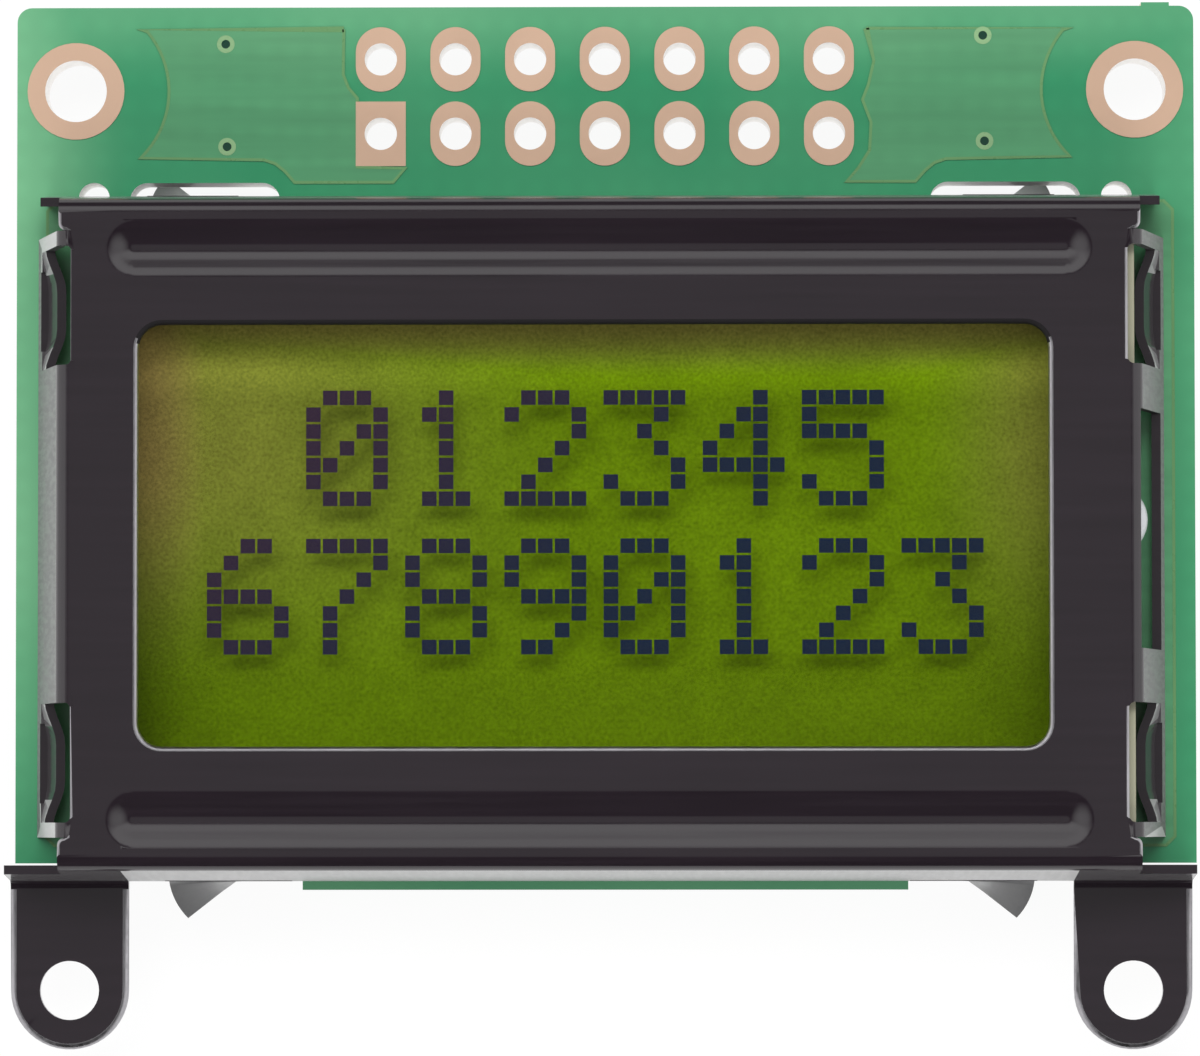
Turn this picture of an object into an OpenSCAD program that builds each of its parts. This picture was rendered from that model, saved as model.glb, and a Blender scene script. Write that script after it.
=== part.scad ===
// Reflective 8 x 2 character display: a circuit board, a folded steel frame held by four
// twisted tabs, and a liquid crystal cell that the frame presses onto two rubber connectors.
// Lies on its back: +Z towards the viewer, +Y towards the header row, z = 0 at the tab tips.

/* [Display cell] */
// Width of the glass plates
glass_w = 35.2; // [32:0.1:42]
// Length of the front glass, with its two contact ledges
front_glass_l = 21.6; // [20:0.1:30]
// Thickness of each glass plate
glass_t = 1.1; // [0.7:0.1:1.1]
// Gap between the glass plates
cell_gap = 0.05; // [0.04:0.01:0.08]
// Thickness of each polarizer
polarizer_t = 0.2; // [0.15:0.05:0.25]
// Thickness of the reflector behind the rear polarizer
reflector_t = 0.05; // [0.03:0.01:0.08]
// How far the glass stands out past each side of the polarizers
polarizer_margin_x = 0.6; // [0.3:0.1:1]
// How far the rear glass stands out past each end of the polarizers
polarizer_margin_y = 0.3; // [0.2:0.1:0.6]
// Width of the seal line between the glass plates
seal_w = 0.9; // [0.6:0.1:1.2]

/* [Rubber connectors] */
// Width of each connector strip
rubber_w = 1.7; // [1.4:0.1:1.8]
// Distance from a strip's centre line to the front glass's end
rubber_inset = 1.24; // [1:0.02:1.4]
// Gap between a strip and the rear glass
rubber_gap = 0.21; // [0.1:0.01:0.4]
// How far the glass stands out past each end of a strip
rubber_margin = 1.1; // [0.8:0.1:2]
// Distance between neighbouring contact fingers under a strip
contact_pitch = 1.1; // [0.9:0.05:1.4]

/* [Frame] */
// Thickness of the steel sheet
sheet_t = 0.3; // [0.25:0.05:0.3]
// Room at each side from the glass to the outside of the side wall's foot
frame_room_x = 1.51; // [1.46:0.01:1.8]
// Room at each end from the front glass to the outside of the end wall's foot
frame_room_y = 0.835; // [0.8:0.005:1.2]
// Height of the frame's face above the board
frame_h = 4; // [3.9:0.1:4.6]
// Sideways play that the frame has taken up in the board's slots
frame_shift = -0.15; // [-0.2:0.01:0.2]
// Inner radius of the bends between face and walls
bend_r = 0.25; // [0.15:0.05:0.3]
// Outward lean of the side walls, in degrees
side_lean = 14.5; // [12:0.5:16]
// Outward lean of the end walls, in degrees
end_lean = 6; // [4:0.5:7]

/* [Window] */
// How far the face covers each side of the front polarizer
window_lap_x = 1.8; // [1.4:0.1:2.4]
// How far the face covers each end of the front polarizer
window_lap_y = 1.15; // [1:0.05:2]
// Corner radius of the window
window_r = 0.8; // [0.4:0.1:1.5]
// Sideways offset of the window in the frame
window_shift_x = -0.2; // [-0.3:0.05:0.3]
// Lengthways offset of the window in the frame
window_shift_y = -0.07; // [-0.1:0.01:0.1]

/* [Press grooves] */
// Distance from a groove's round ends to the glass's sides
groove_margin = 1; // [0.8:0.1:3]
// Width of a groove over its rolled shoulders
groove_w = 2.1; // [1.8:0.1:2.2]
// Depth of a groove
groove_depth = 0.35; // [0.3:0.05:0.4]

/* [Spring fingers] */
// Length of each finger's cut-out
finger_l = 4; // [3.6:0.1:4.6]
// Distance from a cut-out to the end of its wall
finger_margin = 0.5; // [0.4:0.05:0.7]
// How far the middle of a finger is bowed inwards
finger_bow = 0.4; // [0.2:0.05:0.4]
// Height of the rail left standing below a finger
rail_h = 0.55; // [0.4:0.05:0.6]
// Height of a finger's upper edge above the board
finger_top = 1.4; // [1.2:0.05:1.6]

/* [Twist tabs] */
// Width of the upper tabs, which pass through the board's slots
upper_tab_w = 3.1; // [2.6:0.1:3.4]
// Distance from the middle of each upper tab to the side wall's foot
upper_tab_inset = 5.26; // [5:0.02:5.6]
// Width of the lower tabs, which pass the board's stepped edge
lower_tab_w = 4.3; // [3.6:0.1:4.4]
// Play between the lower tabs and the board's foot
lower_tab_play = 0.2; // [0.15:0.05:0.6]
// Angle by which the tabs are twisted
tab_twist = 38; // [30:1:45]
// Length of the twisted part below the board
tab_drop = 1.5; // [1.3:0.1:2]

/* [Board] */
// How far the board reaches past each side wall
board_margin_x = 0.89; // [0.5:0.01:2]
// How far the board's foot reaches past the lower end wall
board_margin_y = 0.295; // [0.2:0.005:0.4]
// Gap from the lower header row to the frame's upper end wall
header_gap = 2.115; // [1.9:0.005:4]
// Thickness of the board
board_t = 1.6; // [0.8:0.1:2]
// Corner radius of the board
board_corner_r = 0.5; // [0.2:0.1:0.8]
// Width of the foot at the board's lower edge
foot_w = 20.5; // [16:0.5:20.5]
// How far the board steps back on each side of the foot
foot_step = 0.9; // [0.9:0.05:1.1]

/* [Mounting holes] */
// Distance from the mounting holes to the board's sides
mount_margin = 2; // [1.8:0.05:2.4]
// Distance from the board's top edge to its mounting holes
mount_edge = 2.85; // [2.5:0.05:3]
// Finished diameter of the board's mounting holes
board_hole_d = 2.1; // [1.6:0.1:2.4]
// Width of the ring of copper round each mounting hole
mount_ring = 0.6; // [0.4:0.05:0.7]
// Diameter of the ears' holes
ear_hole_d = 2; // [1.6:0.1:2.4]
// Distance from the lower end wall's foot to the ears' holes
ear_out = 3.695; // [3.2:0.005:4.5]

/* [Header] */
// Number of header columns
header_cols = 7; // [5:1:8]
// Distance between neighbouring header holes
header_pitch = 2.54; // [2:0.01:2.54]
// Distance from the board's top edge to the first header row
header_edge = 1.78; // [1.4:0.01:2]
// Finished diameter of a header hole
pin_hole_d = 1.1; // [0.8:0.05:1.2]
// Width of a header land
pin_land_w = 1.7; // [1.5:0.05:1.9]
// Length of a header land
pin_land_l = 2.2; // [2:0.05:2.4]
// Thickness of copper lands and of the plating in the holes
copper_t = 0.04; // [0.03:0.01:0.06]

/* [Hidden] */
// Small parts on the back: [side, distance from that side of the board, distance above
// the middle of the frame, turn]
resistor_places = [[-1, 7.8, 8.57, 90], [-1, 7.8, 4.57, 90], [-1, 7.8, 0.57, 90],
                   [-1, 7.8, -3.43, 90], [-1, 5.2, -3.43, 90]];
capacitor_places = [[1, 7.1, 4.07, 0], [1, 7.1, 1.07, 0]];
// Vias: [side, distance from that side of the board, distance from its top edge]
via_places = [[-1, 7.1, 1.25], [-1, 7.15, 4.75], [1, 7.15, 1], [1, 7.1, 4.6]];
header_count = 2 * header_cols;

// Overlap that joins the pieces of one solid, and overshoot of every cut
joint = 0.2;
cut = 1;
// Steps in each rounded corner or bend
arc_steps = 8;
$fn = 48;

// Heights
board_back = tab_drop;
face = board_back + board_t;
front_glass_top = frame_h - groove_depth - sheet_t;
front_glass_bottom = front_glass_top - glass_t;
rear_glass_top = front_glass_bottom - cell_gap;
rear_glass_bottom = rear_glass_top - glass_t;
rear_polarizer_bottom = rear_glass_bottom - polarizer_t;

// Cell and connectors
groove_offset = front_glass_l / 2 - rubber_inset;
rear_glass_l = 2 * (groove_offset - rubber_w / 2 - rubber_gap);
polarizer_w = glass_w - 2 * polarizer_margin_x;
polarizer_l = rear_glass_l - 2 * polarizer_margin_y;
rubber_l = glass_w - 2 * rubber_margin;
contact_margin = 1;
contact_count = floor((rubber_l - 2 * contact_margin) / contact_pitch);

// Frame
frame_w = glass_w + 2 * frame_room_x;
frame_l = front_glass_l + 2 * frame_room_y;
frame_edge = header_edge + header_pitch + header_gap + frame_l / 2;
window_w = polarizer_w - 2 * window_lap_x;
window_l = polarizer_l - 2 * window_lap_y;
groove_l = glass_w - 2 * groove_margin;
ear_bend_r = 0.3;
ear_w = 2 * mount_margin;
ear_reach = frame_l / 2 + ear_out;
bend_outer_r = bend_r + sheet_t;
plate_hw = bend_start(frame_w / 2, side_lean);
plate_hl = bend_start(frame_l / 2, end_lean);
corner_hw = plate_hw + 0.43;
corner_r = 0.25;
side_wall_l = frame_l - 2.97;
stub_h = 2.4;
stub_hw = frame_w / 2 - 0.28;
tab_plane = frame_l / 2 - sheet_t / 2;
upper_tab_x = frame_w / 2 - upper_tab_inset;
lower_tab_x = foot_w / 2 + lower_tab_play + lower_tab_w / 2;
finger_start = side_wall_l / 2 - finger_margin - finger_l;
slit_margin = 0.65;
slit_gap = 0.08;
cutout_r = 0.2;
port_slot_l = 8;
port_slot_y = 0.15;
port_slot_angle = 38;
finger_stations = 14;

// Board
board_w = frame_w + 2 * board_margin_x;
board_l = frame_edge + frame_l / 2 + board_margin_y;
module_l = frame_edge + ear_reach + ear_w / 2;
board_top = module_l / 2;
frame_y = board_top - frame_edge;
mount_x = board_w / 2 - mount_margin;
board_mount_y = board_top - mount_edge;
mount_land_d = board_hole_d + 2 * mount_ring;
slot_play_l = 1;
slot_play_w = 0.45;
slot_l = upper_tab_w + 2 * slot_play_l;
slot_w = sheet_t + 2 * slot_play_w;
slot_x = upper_tab_x - 0.25;
locating_hole_d = 1.05;
locating_x = board_w / 2 - 2.63;
locating_y = frame_y + frame_l / 2 - 0.065;
via_hole_d = 0.3;
via_land_d = 0.6;
snap_x = board_w / 2 - 1.3;
snap_w = 0.95;
snap_l = 0.12;

// Display cell, which sits against the right-hand fingers
cell_x = frame_shift + 0.3;
seal_inset = 0.25;
port_w = 1.4;
port_y = 0.48;
plug_rise = 0.5;
plug_chord = 2;
plug_r = (pow(plug_chord / 2, 2) + pow(plug_rise, 2)) / (2 * plug_rise);

// Parts on the back
cover_d = 12.5;
cover_h = 1.15;
cover_rim_h = 0.25;
chip_l = 2;
chip_w = 1.25;
resistor_h = 0.5;
capacitor_h = 0.8;

// Half size at which the face ends and the bend begins, for a wall with its foot at foot
function bend_start(foot, lean) = foot - bend_outer_r * cos(lean)
    - (frame_h - bend_outer_r + bend_outer_r * sin(lean)) * tan(lean);

// Half size of a wall's outer face at height z
function wall_at(foot, lean, z) = foot - z * tan(lean);

// Points of an arc about c from angle a0 to a1
function arc(c, r, a0, a1) = [for (i = [0:arc_steps])
    let (a = a0 + (a1 - a0) * i / arc_steps) c + r * [cos(a), sin(a)]];

// Outline of a w by l rectangle with rounded corners
function rounded(w, l, r) = let (x = w / 2 - r, y = l / 2 - r)
    concat(arc([x, y], r, 0, 90), arc([-x, y], r, 90, 180),
           arc([-x, -y], r, 180, 270), arc([x, -y], r, 270, 360));

// The two corners of a wall's section at height z, outer face first
function wall_edge(foot, lean, z) =
    let (x = wall_at(foot, lean, z)) [[x, z], [x - sheet_t / cos(lean), z]];

// Section of a folded wall: the face's edge, the bend and the leaning wall down to low
function wall_section(foot, lean, low) =
    let (c = [bend_start(foot, lean), frame_h - bend_outer_r])
    concat([[c.x - joint, frame_h - sheet_t], [c.x - joint, frame_h]],
           arc(c, bend_outer_r, 90, lean), wall_edge(foot, lean, low),
           arc(c, bend_r, lean, 90));

// Section of the lower part of a wall, from the board up to height high
function low_section(foot, lean, high) = let (top = wall_edge(foot, lean, high))
    concat(wall_edge(foot, lean, 0), [top[1], top[0]]);

// Section of an ear: down the leaning wall, round the bend and out to the hole's centre
function ear_section(foot, lean) =
    let (c = [foot + ear_bend_r * (1 - sin(lean)) / cos(lean), ear_bend_r],
         top = wall_edge(foot, lean, stub_h))
    concat([top[0]], arc(c, ear_bend_r, 180 + lean, 270),
           [[ear_reach, 0], [ear_reach, -sheet_t]],
           arc(c, ear_bend_r + sheet_t, 270, 180 + lean), [top[1]]);

// How far a groove has fallen at a distance d from its centre line
function groove_fall(d) = -groove_depth * (1 + cos(180 * min(1, d / (groove_w / 2)))) / 2;

// Bow of a finger at a fraction s of its length: eased at both ends, level between
function ease(s) = (1 - cos(180 * max(0, min(1, s)))) / 2;
function bow(s) = finger_bow * ease(min(s, 1 - s) / 0.35);

// Centre of a header hole. Odd numbers are in the lower row.
function header_place(n) = [
    (floor((n - 1) / 2) - (header_cols - 1) / 2) * header_pitch,
    board_top - header_edge - (n % 2) * header_pitch];

// Place of a small part or via, at a distance in from one side of the board
function beside(side, inset, y) = [side * (board_w / 2 - inset), y];

function via_place(n) = let (v = via_places[n - 1]) beside(v[0], v[1], board_top - v[2]);

module plate(outline, thickness) {
    linear_extrude(thickness) polygon(outline);
}

// A bar of the given section, lying along Y, with the section's x along X
module bar(section, length) {
    rotate([90, 0, 0]) linear_extrude(length, center = true) polygon(section);
}

module box(x0, x1, y0, y1, z0, z1) {
    translate([x0, y0, z0]) cube([x1 - x0, y1 - y0, z1 - z0]);
}

// A flat shape with full round ends, lying along X, or along Y when l is the larger
module oval(w, l, h) {
    turn = l > w ? 90 : 0;
    d = min(w, l);
    run = max(w, l) - d;
    rotate(turn) {
        for (s = [-1, 1]) translate([s * run / 2, 0, 0]) cylinder(d = d, h = h);
        translate([-run / 2, -d / 2, 0]) cube([run, d, h]);
    }
}

// ---- Board ---------------------------------------------------------------------------

module drill(place, d) {
    translate([place.x, place.y, board_back - cut]) cylinder(d = d, h = board_t + 2 * cut);
}

module board() {
    foot_y = board_top - board_l;
    color("mediumseagreen") difference() {
        union() {
            translate([0, board_top - board_l / 2, board_back])
                plate(rounded(board_w, board_l, board_corner_r), board_t);
            // what is left of the bridge that held the board in its panel
            box(snap_x - snap_w / 2, snap_x + snap_w / 2, board_top - joint,
                board_top + snap_l, board_back, face);
        }
        for (s = [0, 1]) mirror([s, 0, 0]) {
            box(foot_w / 2, board_w / 2 + cut, foot_y - cut, foot_y + foot_step,
                board_back - cut, face + cut);
            translate([slot_x, frame_y + tab_plane, board_back - cut])
                oval(slot_l, slot_w, board_t + 2 * cut);
            drill([mount_x, board_mount_y], board_hole_d + 2 * copper_t);
            drill([locating_x, locating_y], locating_hole_d);
        }
        for (n = [1:header_count]) drill(header_place(n), pin_hole_d + 2 * copper_t);
        for (n = [1:len(via_places)]) drill(via_place(n), via_hole_d + 2 * copper_t);
    }
}

// A plated hole: a barrel through the board and, as children, the land on each face
module plated_hole(place, hole_d) {
    translate([place.x, place.y, board_back]) difference() {
        union() {
            cylinder(d = hole_d + 2 * copper_t, h = board_t);
            for (z = [-copper_t, board_t]) translate([0, 0, z]) children();
        }
        translate([0, 0, -cut]) cylinder(d = hole_d, h = board_t + 2 * cut);
    }
}

module mount_land(side) {
    color("tan") plated_hole([side * mount_x, board_mount_y], board_hole_d)
        cylinder(d = mount_land_d, h = copper_t);
}

// The first land is square-ended and the others are oval
module header_land(n) {
    color("tan") plated_hole(header_place(n), pin_hole_d)
        if (n == 1) translate([-pin_land_w / 2, -pin_land_l / 2, 0])
            cube([pin_land_w, pin_land_l, copper_t]);
        else oval(pin_land_w, pin_land_l, copper_t);
}

module via(n) {
    color("tan") plated_hole(via_place(n), via_hole_d) cylinder(d = via_land_d, h = copper_t);
}

// The board's contact fingers under one rubber connector
module contacts(side) {
    finger_w = contact_pitch * 0.6;
    first = -(contact_count - 1) / 2 * contact_pitch - finger_w / 2;
    color("goldenrod") for (i = [0:contact_count - 1])
        translate([frame_shift + first + i * contact_pitch,
                   frame_y + side * groove_offset - rubber_w / 2, face])
            cube([finger_w, rubber_w, copper_t]);
}

// ---- Frame ---------------------------------------------------------------------------

// Solid between a groove's profile, lowered by drop, and the level top_z
module groove_body(drop, top_z) {
    steps = 10;
    r = groove_w / 2;
    run = groove_l - groove_w;
    half = [for (i = [0:steps]) let (d = r * i / steps) [d, frame_h - drop + groove_fall(d)]];
    other_half = [for (i = [steps:-1:1]) [-half[i].x, half[i].y]];
    for (s = [-1, 1]) translate([s * run / 2, 0, 0]) rotate(-90 * s)
        rotate_extrude(angle = 180) polygon(concat(half, [[r, top_z], [0, top_z]]));
    rotate(90) bar(concat(other_half, half, [[r, top_z], [-r, top_z]]), run);
}

// A finger: the strip between a cut-out and the rail, bowed inwards in plan. Its upper
// edge is pushed in furthest.
module finger() {
    ends = 0.15;
    low = rail_h + slit_gap;
    t = sheet_t / cos(side_lean);
    points = [for (i = [0:finger_stations])
        let (s = i / finger_stations,
             y = finger_start - ends + s * (finger_l + 2 * ends),
             low_x = wall_at(frame_w / 2, side_lean, low) - 0.6 * bow(s),
             top_x = wall_at(frame_w / 2, side_lean, finger_top) - bow(s))
        each [[low_x, y, low], [top_x, y, finger_top],
              [top_x - t, y, finger_top], [low_x - t, y, low]]];
    sides = [for (i = [0:finger_stations - 1], k = [0:3])
        [4 * i + k, 4 * i + (k + 1) % 4, 4 * i + 4 + (k + 1) % 4, 4 * i + 4 + k]];
    last = 4 * finger_stations;
    polyhedron(points, concat([[3, 2, 1, 0]], sides, [[last, last + 1, last + 2, last + 3]]));
}

// What is cut away above and behind a finger, with the slit that frees it from the rail
module finger_cut() {
    outer = frame_w / 2 + cut;
    end = finger_start + finger_l;
    translate([(plate_hw + outer) / 2, (finger_start + end) / 2, rail_h + 2.5 * slit_gap])
        plate(rounded(outer - plate_hw, finger_l, cutout_r), frame_h + cut);
    box(plate_hw + cutout_r, outer, finger_start + slit_margin, end - slit_margin,
        rail_h, finger_top);
}

// A side wall in the right half
module side_wall() {
    difference() {
        bar(wall_section(frame_w / 2, side_lean, 0), side_wall_l);
        for (m = [0, 1]) mirror([0, m, 0]) finger_cut();
    }
    for (m = [0, 1]) mirror([0, m, 0]) finger();
}

// Cut in the right-hand wall that clears the plug of the cell's filling port. It starts
// square to the sheet, part of the way round the bend.
module port_slot() {
    c = [plate_hw, frame_h - bend_outer_r];
    rim = c + (bend_outer_r + cut) * [cos(port_slot_angle), sin(port_slot_angle)];
    low = rail_h + slit_gap;
    translate([0, port_slot_y, 0]) bar(
        [c, rim, [frame_w / 2 + cut, rim.y], [frame_w / 2 + cut, low], [c.x, low]],
        port_slot_l);
}

// The face's corner, beside the relief cut between a side wall and an end wall
module corner_tab() {
    low_y = side_wall_l / 2;
    translate([0, 0, frame_h - sheet_t]) plate(concat(
        [[plate_hw - joint, plate_hl], [plate_hw - joint, low_y]],
        arc([corner_hw - corner_r, low_y + corner_r], corner_r, -90, 0),
        [[corner_hw, plate_hl]]), sheet_t);
}

// An end wall, pointing its outer face along +Y. Its foot is longer than its bend.
module end_wall(foot_hw) {
    rotate(90) {
        bar(wall_section(frame_l / 2, end_lean, stub_h - joint), 2 * corner_hw);
        bar(low_section(frame_l / 2, end_lean, stub_h), 2 * foot_hw);
    }
}

// A tab: straight through the board, then twisted below it. turn is 1 or -1.
module twist_tab(width, turn) {
    through = board_t + 0.02;
    translate([-width / 2, -sheet_t / 2, -through]) cube([width, sheet_t, through + joint]);
    translate([0, 0, -board_t - tab_drop]) rotate(turn * tab_twist)
        linear_extrude(board_t + tab_drop - through, twist = turn * tab_twist, slices = 8,
            segments = 8)
            square([width, sheet_t], center = true);
}

// An ear in the right half: out of the lower wall's foot and level with the board's face
module ear() {
    difference() {
        union() {
            translate([mount_x, 0, 0]) rotate(-90)
                bar(ear_section(frame_l / 2, end_lean), ear_w);
            translate([mount_x, -ear_reach, -sheet_t]) cylinder(d = ear_w, h = sheet_t);
        }
        translate([mount_x, -ear_reach, -sheet_t - cut])
            cylinder(d = ear_hole_d, h = sheet_t + 2 * cut);
    }
}

module frame() {
    color("dimgray") translate([frame_shift, frame_y, face]) {
        difference() {
            union() {
                box(-plate_hw, plate_hw, -plate_hl, plate_hl, frame_h - sheet_t, frame_h);
                for (s = [-1, 1]) translate([0, s * groove_offset, 0])
                    groove_body(sheet_t, frame_h - sheet_t / 2);
            }
            for (s = [-1, 1]) translate([0, s * groove_offset, 0])
                groove_body(0, frame_h + cut);
            translate([window_shift_x, window_shift_y, frame_h - sheet_t - cut])
                plate(rounded(window_w, window_l, window_r), sheet_t + 2 * cut);
        }
        end_wall(stub_hw);
        mirror([0, 1, 0]) end_wall(mount_x - ear_w / 2);
        mirror([1, 0, 0]) side_wall();
        difference() {
            side_wall();
            port_slot();
        }
        for (s = [0, 1]) mirror([s, 0, 0]) {
            for (m = [0, 1]) mirror([0, m, 0]) corner_tab();
            translate([upper_tab_x, tab_plane, 0]) twist_tab(upper_tab_w, 1);
            translate([lower_tab_x, -tab_plane, 0]) twist_tab(lower_tab_w, -1);
            ear();
        }
    }
}

// ---- Display cell --------------------------------------------------------------------

// A flat layer of the cell, centred in it
module layer(w, l, bottom, thickness) {
    translate([cell_x - w / 2, frame_y - l / 2, face + bottom]) cube([w, l, thickness]);
}

module front_polarizer() {
    color("darkkhaki") layer(polarizer_w, polarizer_l, front_glass_top, polarizer_t);
}

module front_glass() {
    color("lightcyan") layer(glass_w, front_glass_l, front_glass_bottom, glass_t);
}

module rear_glass() {
    color("lightcyan") layer(glass_w, rear_glass_l, rear_glass_bottom, glass_t);
}

module rear_polarizer() {
    color("olivedrab") layer(polarizer_w, polarizer_l, rear_polarizer_bottom, polarizer_t);
}

module reflector() {
    color("silver")
        layer(polarizer_w, polarizer_l, rear_polarizer_bottom - reflector_t, reflector_t);
}

// What fills the cell inside its seal, out to the filling port
module filling(grow) {
    inner_w = glass_w - 2 * (seal_inset + seal_w);
    z = rear_glass_top - grow;
    layer(inner_w, rear_glass_l - 2 * (seal_inset + seal_w), z, cell_gap + 2 * grow);
    box(cell_x, cell_x + glass_w / 2 - seal_inset + grow, frame_y + port_y - port_w / 2,
        frame_y + port_y + port_w / 2, face + z, face + z + cell_gap + 2 * grow);
}

module liquid_crystal() {
    color("yellowgreen") filling(0);
}

module cell_seal() {
    color("gainsboro") difference() {
        layer(glass_w - 2 * seal_inset, rear_glass_l - 2 * seal_inset, rear_glass_top,
              cell_gap);
        filling(cut);
    }
}

// The drop of glue that closes the filling port, on the glass plates' right-hand edge
module fill_plug() {
    edge = cell_x + glass_w / 2;
    y = frame_y + port_y;
    z = face + front_glass_bottom - cell_gap / 2;
    color("whitesmoke") intersection() {
        translate([edge - plug_r + plug_rise, y, z]) sphere(plug_r);
        box(edge, edge + plug_chord, y - plug_chord, y + plug_chord, z - plug_chord,
            z + plug_chord);
    }
}

// A strip of striped conductive rubber, from the board's contacts to the front glass
module rubber_connector(side) {
    color("silver") box(frame_shift - rubber_l / 2, frame_shift + rubber_l / 2,
        frame_y + side * groove_offset - rubber_w / 2,
        frame_y + side * groove_offset + rubber_w / 2,
        face + copper_t, face + front_glass_bottom);
}

// ---- Back ----------------------------------------------------------------------------

// The drop of black resin over the controller chip
module controller_cover() {
    r = cover_d / 2;
    steps = 12;
    dome = [for (i = [0:steps]) let (a = 90 * i / steps)
        [r * sin(a), -cover_rim_h - (cover_h - cover_rim_h) * cos(a)]];
    color("black") translate([0, frame_y, board_back])
        rotate_extrude() polygon(concat([[0, 0]], dome, [[r, 0]]));
}

module chip(place, h) {
    at = beside(place[0], place[1], frame_y + place[2]);
    translate([at.x, at.y, board_back - h]) rotate(place[3])
        translate([-chip_l / 2, -chip_w / 2, 0]) cube([chip_l, chip_w, h]);
}

board();
frame();
front_polarizer();
front_glass();
liquid_crystal();
cell_seal();
rear_glass();
rear_polarizer();
reflector();
fill_plug();
rubber_connector(1);  // upper_rubber_connector
rubber_connector(-1);  // lower_rubber_connector
contacts(1);  // upper_contacts
contacts(-1);  // lower_contacts
mount_land(-1);  // left_mount_land
mount_land(1);  // right_mount_land
controller_cover();
for (n = [1:header_count])
    header_land(n);
for (n = [1:len(via_places)])
    via(n);
for (n = [1:len(resistor_places)])
    color("black") chip(resistor_places[n - 1], resistor_h);
for (n = [1:len(capacitor_places)])
    color("peru") chip(capacitor_places[n - 1], capacitor_h);
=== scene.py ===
import math

import bmesh
import bpy
from mathutils import Matrix, Vector


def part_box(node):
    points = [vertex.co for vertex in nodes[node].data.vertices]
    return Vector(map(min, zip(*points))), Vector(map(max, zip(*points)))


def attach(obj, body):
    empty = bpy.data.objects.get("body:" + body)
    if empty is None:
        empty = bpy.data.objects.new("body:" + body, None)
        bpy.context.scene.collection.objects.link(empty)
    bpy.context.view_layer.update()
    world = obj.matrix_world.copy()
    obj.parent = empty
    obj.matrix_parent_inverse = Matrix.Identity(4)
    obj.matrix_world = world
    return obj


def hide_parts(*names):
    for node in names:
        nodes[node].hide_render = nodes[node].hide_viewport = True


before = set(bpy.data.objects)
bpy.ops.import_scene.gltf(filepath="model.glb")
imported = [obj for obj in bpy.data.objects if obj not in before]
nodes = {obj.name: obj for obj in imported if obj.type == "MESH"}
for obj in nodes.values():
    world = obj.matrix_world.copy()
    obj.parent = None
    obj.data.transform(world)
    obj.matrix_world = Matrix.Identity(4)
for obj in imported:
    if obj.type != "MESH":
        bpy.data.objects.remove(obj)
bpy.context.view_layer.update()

MM = 0.001
scene = bpy.context.scene
scene.view_settings.view_transform = "Standard"


# ---- Places taken from the solids ----------------------------------------------------

def middle(node):
    low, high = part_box(node)
    return (low + high) / 2


def solids(*starts):
    """The names of the solids that start so."""
    return [name for name in nodes if name.startswith(starts)]


board_low, board_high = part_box("board")
FACE_Z = board_high.z                      # the board's front
BACK_Z = board_low.z                       # the board's back
LAND_TO_TOP = 1.78 * MM                    # from the upper header row to the board's top edge
BOARD_TOP = middle("header_land_2").y + LAND_TO_TOP
frame_low, frame_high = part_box("frame")
FRAME_TOP_Z = frame_high.z
CELL = middle("front_polarizer")

SHEET = 0.3 * MM                           # the frame's steel
EAR_W = 4.0 * MM
EAR_HOLE_IN = EAR_W / 2                    # an ear's hole, from the ear's side and lower end
EARS_BELOW = 27.0 * MM                     # from the board's screw holes down to the ears
HEADER_COLS = 7
HEADER_PITCH = 2.54 * MM
COPPER = 0.03 * MM                         # how far copper under the mask stands up

LINES = ((1, "012345"), (0, "67890123"))   # the first cell of each line, and what it says
DOT, DOT_THICK = 0.49 * MM, 0.03 * MM
DOT_PITCH_X, DOT_PITCH_Y = 0.565 * MM, 0.567 * MM
CELL_PITCH, LINE_PITCH = 3.335 * MM, 4.99 * MM
AREA_LEFT, AREA_TOP = -13.36 * MM, 4.50 * MM


# ---- Camera, light and floor ---------------------------------------------------------

LENS, SENSOR = 211.6, 36.0                 # millimetres
CAMERA_TURN = (2.39, 0.79, -0.07)          # degrees about X, Y and Z
CAMERA_AWAY = Vector((3.127, -27.722, 239.032)) * MM    # from the board's face at its top edge


def aim_camera():
    """A long lens, almost straight above the display."""
    camera = bpy.data.objects.new("camera", bpy.data.cameras.new("camera"))
    camera.data.lens = LENS
    camera.data.sensor_width = SENSOR
    camera.data.clip_start = 0.01
    camera.data.clip_end = 20
    turn = Matrix.Identity(4)
    for degrees, axis in zip(CAMERA_TURN, "XYZ"):
        turn = turn @ Matrix.Rotation(math.radians(degrees), 4, axis)
    eye = Vector((0, BOARD_TOP, FACE_Z)) + CAMERA_AWAY
    camera.matrix_world = Matrix.Translation(eye) @ turn
    scene.collection.objects.link(camera)
    scene.camera = camera


def add(tree, kind, inputs=None, **props):
    """A node with its properties set, and each input set to a value or linked to a socket."""
    node = tree.nodes.new(kind)
    for key, value in props.items():
        setattr(node, key, value)
    for key, value in (inputs or {}).items():
        if isinstance(value, bpy.types.NodeSocket):
            tree.links.new(value, node.inputs[key])
        else:
            node.inputs[key].default_value = value
    return node


def sums(tree, operation, a, b=0.0, clamp=False):
    """The result of one sum on values or sockets."""
    return add(tree, "ShaderNodeMath", {0: a, 1: b}, operation=operation,
               use_clamp=clamp).outputs[0]


def times(tree, a, b):
    return sums(tree, "MULTIPLY", a, b)


def larger(tree, a, b):
    return sums(tree, "MAXIMUM", a, b)


def size_of(tree, a):
    """A value without its sign."""
    return sums(tree, "ABSOLUTE", a)


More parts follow.
